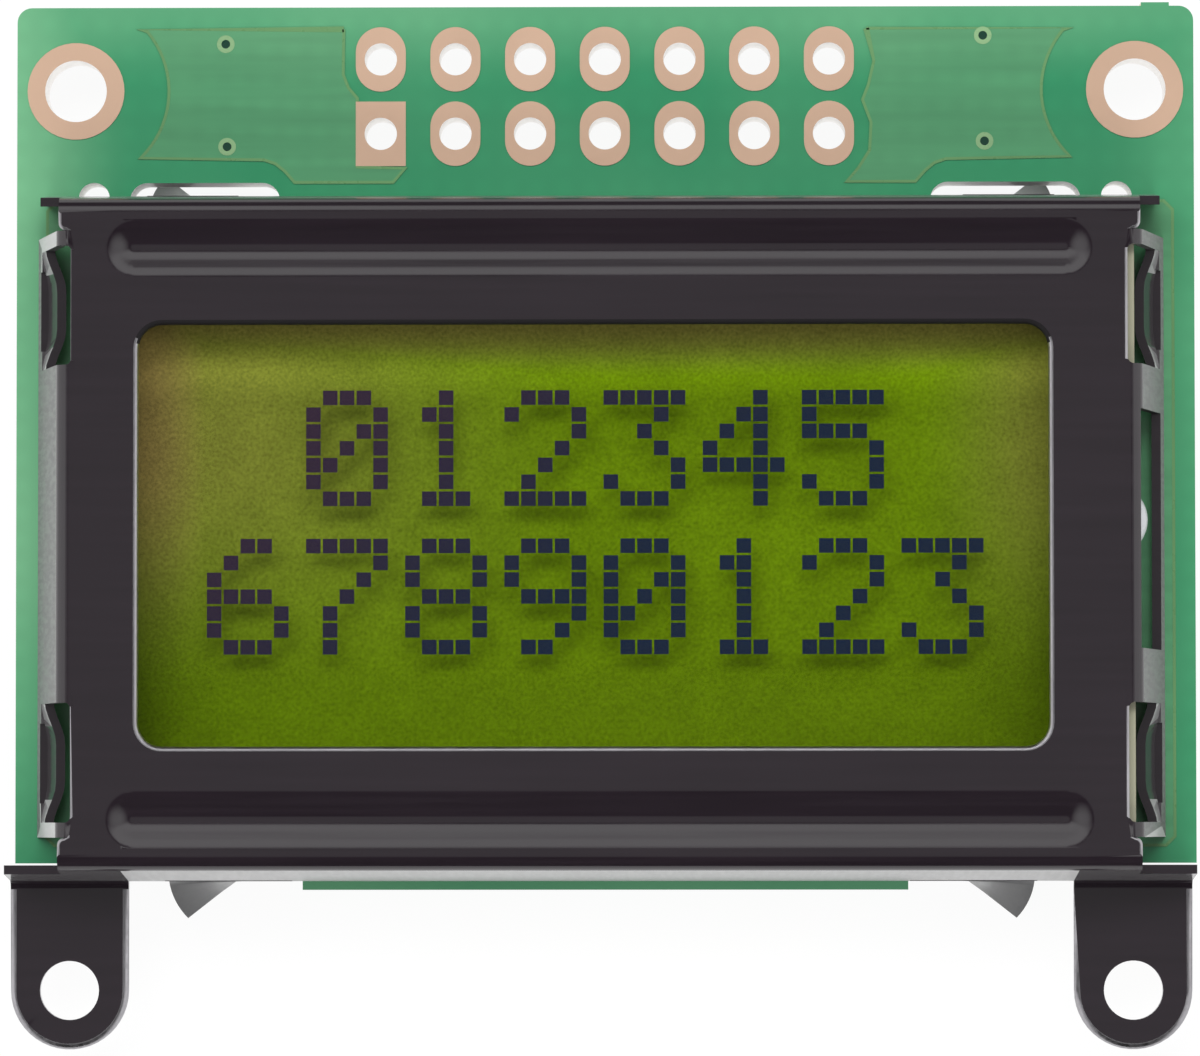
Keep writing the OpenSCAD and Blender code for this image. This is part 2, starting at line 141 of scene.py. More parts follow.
def ramp(tree, value, low, high, to_low=0.0, to_high=1.0):
    """A smooth step of value from low to high."""
    return add(tree, "ShaderNodeMapRange",
               {"Value": value, "From Min": low, "From Max": high,
                "To Min": to_low, "To Max": to_high},
               interpolation_type="SMOOTHSTEP").outputs["Result"]


def blend(tree, factor, a, b):
    """Two colours mixed by factor."""
    node = add(tree, "ShaderNodeMix", data_type="RGBA")
    for index, value in ((0, factor), (6, a), (7, b)):
        if isinstance(value, bpy.types.NodeSocket):
            tree.links.new(value, node.inputs[index])
        elif index:
            node.inputs[index].default_value = (*value, 1)
        else:
            node.inputs[index].default_value = value
    return node.outputs[2]


def light_studio():
    """Soft walls of light left and right, a dimmer one beyond the header, and two lamps."""
    world = bpy.data.worlds.new("studio")
    world.use_nodes = True
    scene.world = world
    tree = world.node_tree
    tree.nodes.clear()
    way = add(tree, "ShaderNodeSeparateXYZ",
              {0: add(tree, "ShaderNodeTexCoord").outputs["Generated"]})
    # Each ramp goes over one part of a direction of length 1, and gives a strength.
    x, y, z = way.outputs
    rear = times(tree, ramp(tree, y, -0.05, 0.45, 0.02, 1.5),
                 ramp(tree, z, 0.51, 0.60, 0.04, 1.0))
    flank = ramp(tree, size_of(tree, x), 0.35, 0.8, 0.0, 1.15)
    ring = times(tree, larger(tree, rear, flank), ramp(tree, z, 0.86, 0.94, 1.0, 0.0))
    level = larger(tree, ring, ramp(tree, z, 0.93, 0.97, 0.0, 0.35))
    back = add(tree, "ShaderNodeBackground", {"Color": (1, 1, 1, 1), "Strength": level})
    tree.links.new(back.outputs[0], add(tree, "ShaderNodeOutputWorld").inputs[0])

    hang_lamp("key", (-0.10, 0.36, 0.93), 0.5, 0.16, 2.5)
    hang_lamp("fill", (0.05, -0.78, 0.62), 0.5, 0.3, 1.9)


LAMP_AWAY = 0.6


def hang_lamp(name, toward, width, height, energy):
    """A soft lamp that lights the module but is not mirrored in it."""
    lamp = bpy.data.lights.new(name, "AREA")
    lamp.shape = "RECTANGLE"
    lamp.size, lamp.size_y = width, height
    lamp.energy = energy
    obj = bpy.data.objects.new(name, lamp)
    toward = Vector(toward).normalized()
    obj.location = toward * LAMP_AWAY
    obj.rotation_euler = toward.to_track_quat("Z", "Y").to_euler()
    obj.visible_glossy = False
    scene.collection.objects.link(obj)


FLOOR_HALF = 4.0
FLOOR_GAP = 0.01 * MM                      # the floor lies just under the tab tips
FLOOR_GLOW = 0.93                          # the share of its white that no shadow dims


def lay_floor():
    """A lit white floor that keeps a faint shadow of the module."""
    mesh = bpy.data.meshes.new("floor")
    corners = [(-1, -1), (1, -1), (1, 1), (-1, 1)]
    mesh.from_pydata([(x * FLOOR_HALF, y * FLOOR_HALF, -FLOOR_GAP) for x, y in corners],
                     [], [(0, 1, 2, 3)])
    floor = bpy.data.objects.new("floor", mesh)
    scene.collection.objects.link(floor)
    mat = bpy.data.materials.new("white_floor")
    mat.use_nodes = True
    tree = mat.node_tree
    tree.nodes.clear()
    paper = add(tree, "ShaderNodeBsdfDiffuse", {"Color": (0.92, 0.92, 0.92, 1)})
    glow = add(tree, "ShaderNodeEmission", {"Color": (1, 1, 1, 1), "Strength": 1.0})
    mix = add(tree, "ShaderNodeMixShader",
              {0: FLOOR_GLOW, 1: paper.outputs[0], 2: glow.outputs[0]})
    tree.links.new(mix.outputs[0], add(tree, "ShaderNodeOutputMaterial").inputs[0])
    mesh.materials.append(mat)


# ---- Effects that several finishes share ---------------------------------------------

def new_group(name, ins, outs):
    """An empty shader node group with its sockets; returns the group, its input and output node."""
    group = bpy.data.node_groups.new(name, "ShaderNodeTree")
    for label, kind, value in ins:
        socket = group.interface.new_socket(label, in_out="INPUT", socket_type=kind)
        socket.default_value = value
    for label, kind in outs:
        group.interface.new_socket(label, in_out="OUTPUT", socket_type=kind)
    return group, group.nodes.new("NodeGroupInput"), group.nodes.new("NodeGroupOutput")


FLOAT, COLOUR = "NodeSocketFloat", "NodeSocketColor"


def make_grain():
    """Fine and coarse noise over the piece: a value about a half and a height."""
    group, into, out = new_group("grain", [("Scale", FLOAT, 3000.0), ("Coarse", FLOAT, 200.0)],
                                 [("Fine", FLOAT), ("Broad", FLOAT), ("Height", FLOAT)])
    place = add(group, "ShaderNodeTexCoord").outputs["Object"]
    fine = add(group, "ShaderNodeTexNoise",
               {"Vector": place, "Scale": into.outputs["Scale"], "Detail": 2.0,
                "Roughness": 0.6}).outputs["Fac"]
    broad = add(group, "ShaderNodeTexNoise",
                {"Vector": place, "Scale": into.outputs["Coarse"], "Detail": 1.0,
                 "Roughness": 0.5}).outputs["Fac"]
    height = sums(group, "ADD", times(group, fine, 0.7), times(group, broad, 0.3))
    for label, value in (("Fine", fine), ("Broad", broad), ("Height", height)):
        group.links.new(value, out.inputs[label])
    return group


def make_tone():
    """A colour made darker and lighter by a mask about a half."""
    group, into, out = new_group("tone", [("Color", COLOUR, (1, 1, 1, 1)), ("Mask", FLOAT, 0.5),
                                          ("Amount", FLOAT, 0.2)], [("Color", COLOUR)])
    swing = times(group, sums(group, "SUBTRACT", into.outputs["Mask"], 0.5),
                  into.outputs["Amount"])
    shade = add(group, "ShaderNodeHueSaturation",
                {"Color": into.outputs["Color"], "Value": sums(group, "ADD", swing, 1.0)})
    group.links.new(shade.outputs[0], out.inputs["Color"])
    return group


GRAIN, TONE = make_grain(), make_tone()
GRAIN_DEPTH = 0.01 * MM


class Finish:
    """A material built round one Principled shader."""

    def __init__(self, name, roughness, **sockets):
        self.mat = bpy.data.materials.new(name)
        self.mat.use_nodes = True
        self.tree = self.mat.node_tree
        self.shader = self.tree.nodes["Principled BSDF"]
        self.shader.inputs["Roughness"].default_value = roughness
        for key, value in sockets.items():
            self.shader.inputs[key.replace("_", " ")].default_value = value

    def group(self, group, **inputs):
        """The outputs of a node group, with its inputs set or linked."""
        return add(self.tree, "ShaderNodeGroup", inputs, node_tree=group).outputs

    def set(self, key, value):
        """Sets or links one input of the shader."""
        if isinstance(value, bpy.types.NodeSocket):
            self.tree.links.new(value, self.shader.inputs[key])
        else:
            self.shader.inputs[key].default_value = value

    def paint(self, colour, mask, amount, second_mask=None, second_amount=0.0):
        """The base colour, made darker and lighter by one mask or two."""
        colour = (*colour, 1) if isinstance(colour, tuple) else colour
        body = self.group(TONE, Color=colour, Mask=mask, Amount=amount)["Color"]
        if second_mask is not None:
            body = self.group(TONE, Color=body, Mask=second_mask,
                              Amount=second_amount)["Color"]
        self.set("Base Color", body)

    def bump(self, height, strength, distance=GRAIN_DEPTH):
        """Unevenness too small to model."""
        node = add(self.tree, "ShaderNodeBump", {"Height": height, "Strength": strength,
                                                 "Distance": distance})
        self.tree.links.new(node.outputs[0], self.shader.inputs["Normal"])

    def spot(self):
        """Where on the module a point is, as one vector in metres."""
        return add(self.tree, "ShaderNodeTexCoord").outputs["Object"]

    def place(self):
        """The same as three values: x, y and z."""
        return add(self.tree, "ShaderNodeSeparateXYZ", {0: self.spot()}).outputs

    def streaks(self, fineness, detail):
        """Noise drawn out into lines, with its fineness along X, Y and Z."""
        drawn = add(self.tree, "ShaderNodeMapping",
                    {"Vector": self.spot(), "Scale": fineness}).outputs[0]
        return add(self.tree, "ShaderNodeTexNoise",
                   {"Vector": drawn, "Scale": 1.0, "Detail": detail}).outputs["Fac"]

    def bands(self, direction, scale, distortion, **inputs):
        """Waves of light and dark across one direction."""
        return add(self.tree, "ShaderNodeTexWave",
                   {"Vector": self.spot(), "Scale": scale, "Distortion": distortion, **inputs},
                   bands_direction=direction).outputs["Fac"]

    def facing(self):
        """1 on faces that look up or down, 0 on upright ones."""
        normal = add(self.tree, "ShaderNodeSeparateXYZ",
                     {0: add(self.tree, "ShaderNodeNewGeometry").outputs["True Normal"]})
        return ramp(self.tree, size_of(self.tree, normal.outputs[2]), 0.55, 0.75)


# ---- Finishes ------------------------------------------------------------------------

def plain_finish(name, colour, roughness, scale=2500.0, swing=0.12, bump=0.15, **sockets):
    """A one-coloured material with its grain, colour variation and bump."""
    f = Finish(name, roughness, **sockets)
    grain = f.group(GRAIN, Scale=scale, Coarse=scale / 12)
    f.paint(colour, grain["Broad"], swing)
    f.set("Roughness", ramp(f.tree, grain["Fine"], 0.25, 0.75, roughness * 0.85,
                            roughness * 1.15))
    f.bump(grain["Height"], bump, 2 * GRAIN_DEPTH)
    return f.mat


def mask_finish(name, deep, pale, laminate_edges):
    """Green solder mask over the glass weave, lighter towards the board's left, right and upper
    edges, and painted lighter at its foot, which lies in the frame's shadow; the board's cut edges
    are bare laminate.
    """
    f = Finish(name, 0.3)
    tree = f.tree
    x, y, _ = f.place()
    grain = f.group(GRAIN, Scale=1500.0, Coarse=140.0)
    weave = times(tree, f.bands("X", 340.0, 0.6), f.bands("Y", 340.0, 0.6))
    left = times(tree, ramp(tree, x, board_low.x + 4.2 * MM, board_low.x - 0.6 * MM),
                 ramp(tree, y, board_low.y - 0.7 * MM, board_low.y + 13.3 * MM, 0.3, 1.0))
    right = times(tree, ramp(tree, x, board_high.x - 3.5 * MM, board_high.x + 0.2 * MM),
                  ramp(tree, y, board_low.y + 2.3 * MM, board_low.y + 26.3 * MM, 0.0, 0.4))
    top = ramp(tree, y, BOARD_TOP - 2.9 * MM, BOARD_TOP + 0.1 * MM, 0.0, 0.5)
    # Painted light: the strip of board below the frame, in the frame's shadow, is painted lighter.
    foot = ramp(tree, y, board_low.y + 1.1 * MM, board_low.y + 0.3 * MM, 0.0, 0.6)
    paler_edges_and_foot_light = larger(tree, left, larger(tree, right, larger(tree, top, foot)))
    mixed = sums(tree, "ADD", times(tree, paler_edges_and_foot_light, 0.85),
                 times(tree, sums(tree, "SUBTRACT", grain["Broad"], 0.4), 0.5), clamp=True)
    coat = blend(tree, mixed, deep, pale)
    coat = f.group(TONE, Color=coat, Mask=weave, Amount=0.05)["Color"]
    if laminate_edges:
        coat = blend(tree, f.facing(), laminate_and_glow_colour(f, x, y), coat)
        f.set("Roughness", ramp(tree, f.facing(), 0.0, 1.0, 0.75, 0.3))
    else:
        lines = f.streaks((120.0, 2200.0, 1.0), 2.0)
        coat = f.group(TONE, Color=coat, Mask=lines, Amount=0.35)["Color"]
    f.set("Base Color", coat)
    f.set("Coat Weight", 0.25)
    f.set("Coat Roughness", 0.12)
    f.bump(sums(tree, "ADD", times(tree, weave, 0.5), grain["Height"]), 0.12, 4 * GRAIN_DEPTH)
    return f.mat


def laminate_and_glow_colour(f, x, y):
    """Layers of glass cloth on the board's outer edges; the walls in its slots and holes are
    painted near white, a painted glow for the light coming through the laminate from below.
    """
    tree = f.tree
    layers = f.bands("Z", 1400.0, 3.0, Detail=2.0)
    bare = blend(tree, layers, (0.66, 0.62, 0.44), (0.82, 0.79, 0.62))
    mid_y, half_y = (BOARD_TOP + board_low.y) / 2 + 0.2 * MM, (BOARD_TOP - board_low.y) / 2
    outer = larger(tree, ramp(tree, size_of(tree, x), board_high.x - 0.5 * MM,
                              board_high.x - 0.2 * MM),
                   ramp(tree, size_of(tree, sums(tree, "SUBTRACT", y, mid_y)),
                        half_y - 0.9 * MM, half_y - 0.7 * MM))
    # Painted glow: inside walls near white, outer edges show the bare layers.
    return blend(tree, outer, (0.95, 0.95, 0.92), bare)


def steel_finish():
    """Black baked coat on steel sheet, with the faint streaks of the rolled sheet."""
    f = Finish("black_steel", 0.3, IOR=1.6, Sheen_Weight=0.15, Sheen_Roughness=0.35)
    streak = f.streaks((140.0, 4200.0, 4200.0), 3.0)
    grain = f.group(GRAIN, Scale=3000.0, Coarse=220.0)
    f.paint((0.0135, 0.0095, 0.0130), streak, 0.5, grain["Broad"], 0.2)
    f.set("Roughness", ramp(f.tree, streak, 0.3, 0.7, 0.12, 0.19))
    f.bump(streak, 0.12)
    return f.mat


def painted_sheen_steel_finish(name, colour, sheen):
    """The black coat painted grey on upright walls and tabs: a painted reflection of the bright
    floor they catch edge-on, with a sheen.
    """
    f = Finish(name, 0.5, IOR=1.4, Sheen_Weight=sheen, Sheen_Roughness=0.35)
    grain = f.group(GRAIN, Scale=4000.0, Coarse=400.0)
    wall_streaks = f.streaks((5000.0, 5000.0, 300.0), 2.0)
    f.paint(colour, wall_streaks, 0.6, grain["Broad"], 0.5)
    f.set("Roughness", ramp(f.tree, wall_streaks, 0.3, 0.7, 0.4, 0.6))
    f.bump(wall_streaks, 0.15)
    return f.mat


def bare_edge_finish():
    """Steel laid bare by the punch on the sheet's cut edges."""
    f = Finish("cut_steel_edge", 0.34, Metallic=1.0)
    grain = f.group(GRAIN, Scale=5000.0, Coarse=500.0)
    f.paint((0.40, 0.39, 0.41), grain["Broad"], 0.5)
    f.set("Roughness", ramp(f.tree, grain["Fine"], 0.3, 0.7, 0.28, 0.45))
    f.bump(grain["Fine"], 0.3)
    return f.mat


def reflector_look():
    """Olive reflector film seen through its polarizer, with a brown haze at the upper edges,
    painted lighter under the window's upper edge against the frame's shadow, and with painted shade
    along that edge and in the lower side corners.
    """
    f = Finish("olive_reflector", 0.5, Specular_IOR_Level=0.05)
    tree = f.tree
    x, y, _ = f.place()
    speck = f.group(GRAIN, Scale=9000.0, Coarse=900.0)
    beside = size_of(tree, sums(tree, "SUBTRACT", x, CELL.x - 0.5 * MM))
    side = ramp(tree, beside, 10.8 * MM, 15.6 * MM)
    upper = ramp(tree, y, AREA_TOP - 11.0 * MM, AREA_TOP - 1.5 * MM)
    left_haze = times(tree, ramp(tree, x, 0.0, -15.0 * MM), 0.5)
    side_haze = times(tree, side, ramp(tree, x, -10.0 * MM, 10.0 * MM, 1.0, 0.5))
    top_haze = times(tree, ramp(tree, y, AREA_TOP + 0.4 * MM, AREA_TOP + 2.5 * MM), 0.75)
    haze = larger(tree, times(tree, larger(tree, side_haze, left_haze), upper), top_haze)
    body = blend(tree, haze, (0.088, 0.156, 0.0008), (0.170, 0.125, 0.038))
    # Painted light below the window's upper edge, where the frame's shadow falls, and painted shade
    # right along that edge.
    painted_light_and_edge_shade = times(tree, ramp(tree, y, AREA_TOP - 0.5 * MM, AREA_TOP + 1.1 * MM, 1.0, 1.65),
                  ramp(tree, y, AREA_TOP + 1.3 * MM, AREA_TOP + 2.3 * MM, 1.0, 0.6))
    # Painted shade in the lower corners at the sides.
    painted_corner_shade = times(tree, side, sums(tree, "SUBTRACT", 1.0, upper))
    value = times(tree, painted_light_and_edge_shade, ramp(tree, painted_corner_shade, 0.0, 1.0, 1.0, 0.75))
    body = add(tree, "ShaderNodeHueSaturation", {"Color": body, "Value": value}).outputs[0]
    f.paint(body, speck["Fine"], 1.1, speck["Broad"], 0.25)
    f.bump(speck["Fine"], 0.3)
    return f.mat


def dark_dot_look():
    """Switched-on dots: navy, turning purple towards the upper left."""
    f = Finish("dark_dots", 0.35, Specular_IOR_Level=0.2)
    tree = f.tree
    x, y, _ = f.place()
    grain = f.group(GRAIN, Scale=7000.0, Coarse=300.0)
    left = ramp(tree, sums(tree, "SUBTRACT", times(tree, y, 1.2), x), -4.0 * MM, 16.0 * MM)
    body = blend(tree, left, (0.003, 0.009, 0.026), (0.020, 0.010, 0.024))
    f.paint(body, grain["Fine"], 0.4)
    f.bump(grain["Fine"], 0.1)
    return f.mat


def clear_cell_finish():
    """Clear plates that mirror more the flatter they are seen, and pass the rest."""
    f = Finish("clear_glass", 0.16, Metallic=1.0)
    grain = f.group(GRAIN, Scale=5000.0, Coarse=90.0)
    f.paint((0.75, 0.7, 0.25), grain["Broad"], 0.05)
    f.set("Roughness", ramp(f.tree, grain["Fine"], 0.2, 0.8, 0.08, 0.14))
    inside = add(f.tree, "ShaderNodeNewGeometry").outputs["Backfacing"]
    gloss = add(f.tree, "ShaderNodeFresnel", {"IOR": 1.3}).outputs[0]
    mirror = times(f.tree, gloss, sums(f.tree, "SUBTRACT", 1.0, inside))
    sawn = times(f.tree, sums(f.tree, "SUBTRACT", 1.0, f.facing()), 0.55)
    f.set("Alpha", larger(f.tree, mirror, sawn))
    return f.mat


def copper_finish():
    """Bare copper lands with an organic coat, and brightly plated walls in the holes."""
    f = Finish("bare_copper", 0.42)
    grain = f.group(GRAIN, Scale=3500.0, Coarse=260.0)
    body = f.group(TONE, Color=(0.60, 0.405, 0.290, 1), Mask=grain["Broad"],
                   Amount=0.25)["Color"]
    f.set("Base Color", blend(f.tree, f.facing(), (0.97, 0.94, 0.91), body))
    f.set("Metallic", ramp(f.tree, f.facing(), 0.0, 1.0, 1.0, 0.35))
    f.set("Roughness", ramp(f.tree, grain["Fine"], 0.3, 0.7, 0.32, 0.46))
    f.bump(grain["Height"], 0.2)
    return f.mat


def striped_rubber():
    """Layers of carbon-loaded and clear silicone across the strip."""
    f = Finish("connector_rubber", 0.55)
    layers = ramp(f.tree, f.bands("X", 1800.0, 0.3), 0.4, 0.6)
    grain = f.group(GRAIN, Scale=2500.0, Coarse=200.0)
    body = blend(f.tree, layers, (0.035, 0.035, 0.037), (0.42, 0.42, 0.40))
    f.paint(body, grain["Broad"], 0.2)
    f.bump(grain["Fine"], 0.2)
    return f.mat


def paint_nodes(finish, *starts):
    """Gives its finish to each solid whose name starts so."""
    for name in solids(*starts):
        mesh = nodes[name].data
        mesh.materials.clear()
        mesh.materials.append(finish)


# ---- Building ------------------------------------------------------------------------

def join_rings(bm, one, other):
    """A band of faces between two rings with as many corners each."""
    turned = one[1:] + one[:1], other[1:] + other[:1]
    return [bm.faces.new(corners) for corners in zip(one, turned[0], turned[1], other)]


def piece_from(bm, name, finishes, replaced=(), smooth=None):
    """Turns a bmesh into a finished piece that rides on the module."""
    bmesh.ops.recalc_face_normals(bm, faces=bm.faces)
    mesh = bpy.data.meshes.new(name)
    bm.to_mesh(mesh)
    bm.free()
    for finish in finishes:
        mesh.materials.append(finish)
    if smooth is not None:
        mesh.shade_smooth()
        mesh.set_sharp_from_angle(angle=math.radians(smooth))
    return piece_of(mesh, name, replaced)


def piece_of(mesh, name, replaced=()):
    """A piece that rides on the module and may stand for some of its solids."""
    obj = bpy.data.objects.new(name, mesh)
    scene.collection.objects.link(obj)
    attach(obj, "root")
    if replaced:
        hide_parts(*replaced)
    return obj


def baked(obj, name):
    """The evaluated mesh of an object with its modifiers, as a plain mesh; the object goes."""
    graph = bpy.context.evaluated_depsgraph_get()
    mesh = bpy.data.meshes.new_from_object(obj.evaluated_get(graph), depsgraph=graph)
    mesh.name = name
    bpy.data.objects.remove(obj)
    return mesh


def merged_copy(node):
    """A node's loose triangles, joined and with flat areas made whole."""
    bm = bmesh.new()
    bm.from_mesh(nodes[node].data)
    bmesh.ops.remove_doubles(bm, verts=bm.verts, dist=2e-7)
    bmesh.ops.dissolve_limit(bm, angle_limit=math.radians(0.4), verts=bm.verts,
                             edges=bm.edges)
    return bm


def is_sharp(edge, degrees=60):
    """Whether the surface turns sharply at this edge."""
    return len(edge.link_faces) == 2 and edge.calc_face_angle(0) > math.radians(degrees)


def punched(face, sheet):
    """Whether a face is a cut through the sheet: two sharp edges, one sheet thickness apart."""
    sharp = sorted((e for e in face.edges if is_sharp(e)), key=lambda e: -e.calc_length())
    if len(sharp) < 2:
        return False
    first = sharp[0]
    run = (first.verts[1].co - first.verts[0].co).normalized()
    for other in sharp[1:]:
        way = (other.verts[1].co - other.verts[0].co).normalized()
        if abs(way.dot(run)) > 0.97:
            gap = (other.verts[0].co - first.verts[0].co)
            gap -= run * gap.dot(run)
            if 0.6 * sheet < gap.length < 1.2 * sheet:
                return True
    return False


CUT_EDGE, PAINTED_SHEEN_SIDE, PAINTED_SHEEN_END, SHADED_EDGE = range(1, 5)     # 0 is the coat
COAT_DOWN = 0.8 * MM                       # how far down its walls the frame keeps its plain coat; lower down, walls get a painted reflection
FINGERS_OUT = 5.2 * MM                     # from the cell's middle to the fingers, along y
EAR_HOLE_RIM = 1.7 * MM                    # within this of a hole's middle, no edge is rolled
WINDOW_REACH = 8.0 * MM                    # from the cell's middle, past the window's upper edge
WINDOW_ROLL, CUT_OUT_ROLL, EAR_ROLL = 0.16 * MM, 0.1 * MM, 0.2 * MM
LEVEL = 2e-6                               # ends this close to one height lie on it
MERGE = 5e-7                               # corners this close become one


def sort_faces(bm):
    """Marks the frame's punched edges, and the walls and tabs that get a painted grey reflection of
    the floor.
    """
    for face in bm.faces:
        spot = face.calc_center_median()
        wall = abs(face.normal.z) < 0.35 and spot.z < FRAME_TOP_Z - COAT_DOWN
        finger = abs(face.normal.x) > 0.3 and abs(spot.y - CELL.y) > FINGERS_OUT
        by_ear = min(spot.x - frame_low.x, frame_high.x - spot.x) < EAR_W
        # After the cut edges, tabs and upright walls take the grey finishes that paint in the
        # bright floor's reflection.
        if punched(face, SHEET) and abs(face.normal.z) < 0.5:
            face.material_index = CUT_EDGE
        elif spot.z < BACK_Z or wall and face.normal.y < -0.8 and not by_ear:
            face.material_index = PAINTED_SHEEN_END
        elif wall and finger and face.normal.x * (spot.x - CELL.x) > 0:
            face.material_index = PAINTED_SHEEN_END
        elif wall and abs(face.normal.x) > 0.8 and not finger:
            face.material_index = PAINTED_SHEEN_SIDE


def roll_edges(bm):
    """Rounds the front edges of the window, the cut-outs and the ears, as punching does."""
    cut_outs_x = (frame_high.x - frame_low.x) / 2 - EAR_W
    ears_y = middle("left_mount_land").y - EARS_BELOW
    holes = [Vector((x, frame_low.y + EAR_HOLE_IN))
             for x in (frame_low.x + EAR_HOLE_IN, frame_high.x - EAR_HOLE_IN)]

    def roll(z, radius, fits):
        """Rounds the sharp edges at one height whose ends all fit."""
        edges = [e for e in bm.edges if is_sharp(e)
                 and all(abs(v.co.z - z) < LEVEL and fits(v.co) for v in e.verts)]
        bmesh.ops.bevel(bm, geom=edges, offset=radius, segments=3, profile=0.5,
                        affect="EDGES", clamp_overlap=False, material=CUT_EDGE)

    def on_ear(at):
        """Whether a point is on an ear, and not on its screw hole."""
        return at.y < ears_y and all((at.xy - hole).length > EAR_HOLE_RIM for hole in holes)

    roll(FRAME_TOP_Z, WINDOW_ROLL, lambda at: abs(at.x) < cut_outs_x)
    roll(FRAME_TOP_Z, CUT_OUT_ROLL, lambda at: abs(at.x) > cut_outs_x)
    roll(FACE_Z, EAR_ROLL, on_ear)
    bmesh.ops.remove_doubles(bm, verts=bm.verts, dist=MERGE)
    bmesh.ops.dissolve_degenerate(bm, dist=MERGE, edges=bm.edges)
    for face in bm.faces:
        in_window = 0 < face.calc_center_median().y < CELL.y + WINDOW_REACH
        if face.material_index == CUT_EDGE and face.normal.y < -0.1 and in_window:
            face.material_index = SHADED_EDGE


def steel_frame(*finishes):
    """The folded frame, with the rolled edges that punching leaves on its front."""
    bm = merged_copy("frame")
    for spot, way in (((frame_low.x + EAR_W, 0, 0), (1, 0, 0)),
                      ((frame_high.x - EAR_W, 0, 0), (1, 0, 0)), ((0, 0, BACK_Z), (0, 0, 1))):
        bmesh.ops.bisect_plane(bm, geom=bm.verts[:] + bm.edges[:] + bm.faces[:],
                               plane_co=spot, plane_no=way)
    sort_faces(bm)
    roll_edges(bm)
    mesh = bpy.data.meshes.new("steel_frame_raw")
    bm.to_mesh(mesh)
    bm.free()
    for finish in finishes:
        mesh.materials.append(finish)
    mesh.shade_smooth()
    mesh.set_sharp_from_angle(angle=math.radians(32))
    obj = bpy.data.objects.new("steel_frame_raw", mesh)
    scene.collection.objects.link(obj)
    weigh = obj.modifiers.new("weigh", "WEIGHTED_NORMAL")
    weigh.keep_sharp = True
    weigh.weight = 100
    return piece_of(baked(obj, "steel_frame"), "steel_frame", ["frame"])


DIGITS = {
    "0": "01110 10001 10011 10101 11001 10001 01110",
    "1": "00100 01100 00100 00100 00100 00100 01110",
    "2": "01110 10001 00001 00010 00100 01000 11111",
    "3": "11111 00010 00100 00010 00001 10001 01110",
    "4": "00010 00110 01010 10010 11111 00010 00010",
    "5": "11111 10000 11110 00001 00001 10001 01110",
    "6": "00110 01000 10000 11110 10001 10001 01110",
    "7": "11111 00001 00010 00100 01000 01000 01000",
    "8": "01110 10001 10001 01110 10001 10001 01110",
    "9": "01110 10001 10001 01111 00001 00010 01100",
}


def dot_tree(finish):
    """Geometry nodes: a small flat square on every point."""
    tree = bpy.data.node_groups.new("dots_on_points", "GeometryNodeTree")
    face = tree.interface
    face.new_socket("Geometry", in_out="INPUT", socket_type="NodeSocketGeometry")
    width = face.new_socket("Dot width", in_out="INPUT", socket_type=FLOAT)
    thick = face.new_socket("Dot thickness", in_out="INPUT", socket_type=FLOAT)
    face.new_socket("Geometry", in_out="OUTPUT", socket_type="NodeSocketGeometry")
    into, out = add(tree, "NodeGroupInput"), add(tree, "NodeGroupOutput")
    size = add(tree, "ShaderNodeCombineXYZ", {0: into.outputs["Dot width"],
                                              1: into.outputs["Dot width"],
                                              2: into.outputs["Dot thickness"]})
    block = add(tree, "GeometryNodeMeshCube", {"Size": size.outputs[0]})
    copies = add(tree, "GeometryNodeInstanceOnPoints",
                 {"Points": into.outputs["Geometry"], "Instance": block.outputs["Mesh"]})
    real = add(tree, "GeometryNodeRealizeInstances", {"Geometry": copies.outputs[0]})
    skin = add(tree, "GeometryNodeSetMaterial", {"Geometry": real.outputs[0],
                                                 "Material": finish})
    tree.links.new(skin.outputs[0], out.inputs["Geometry"])
    return tree, width.identifier, thick.identifier


def lit_dots(finish):
    """The characters: plain digits in two lines of eight cells."""
    left, top, z = AREA_LEFT + DOT / 2, AREA_TOP - DOT / 2, middle("liquid_crystal").z
    points = [(left + (first + cell) * CELL_PITCH + col * DOT_PITCH_X,
               top - line * LINE_PITCH - row * DOT_PITCH_Y, z)
              for line, (first, text) in enumerate(LINES)
              for cell, digit in enumerate(text)
              for row, dots in enumerate(DIGITS[digit].split())
              for col, on in enumerate(dots) if on == "1"]
    mesh = bpy.data.meshes.new("lit_dots_raw")
    mesh.from_pydata(points, [], [])
    obj = bpy.data.objects.new("lit_dots_raw", mesh)
    scene.collection.objects.link(obj)
    tree, width, thick = dot_tree(finish)
    maker = obj.modifiers.new("dots", "NODES")
    maker.node_group = tree
    maker[width] = DOT
    maker[thick] = DOT_THICK
    return piece_of(baked(obj, "lit_dots"), "lit_dots")


def display_cell(finish, ground_finish):
    """Both glass plates, the clear filling between them and the front film, as one block."""
    film, plate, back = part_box("front_polarizer"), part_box("front_glass"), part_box("rear_glass")
    levels = [(back, back[0].z + 0.005 * MM), (back, plate[0].z), (plate, plate[0].z),
              (plate, plate[1].z), (film, plate[1].z), (film, film[1].z)]
    bm = bmesh.new()
    rings = []
    for (low, high), z in levels:
        rings.append([bm.verts.new((x, y, z)) for x, y in
                      ((low.x, low.y), (high.x, low.y), (high.x, high.y), (low.x, high.y))])
    bm.faces.new(rings[0][::-1])
    bm.faces.new(rings[-1])
    for lower, upper in zip(rings, rings[1:]):
        join_rings(bm, lower, upper)
    for face in bm.faces:
        beyond = abs(face.calc_center_median().x - CELL.x) - (film[1].x - film[0].x) / 2
        face.material_index = 1 if beyond > 0.05 * MM else 0
    return piece_from(bm, "display_cell", (finish, ground_finish),
                      ["front_polarizer", "front_glass", "liquid_crystal", "rear_glass"])


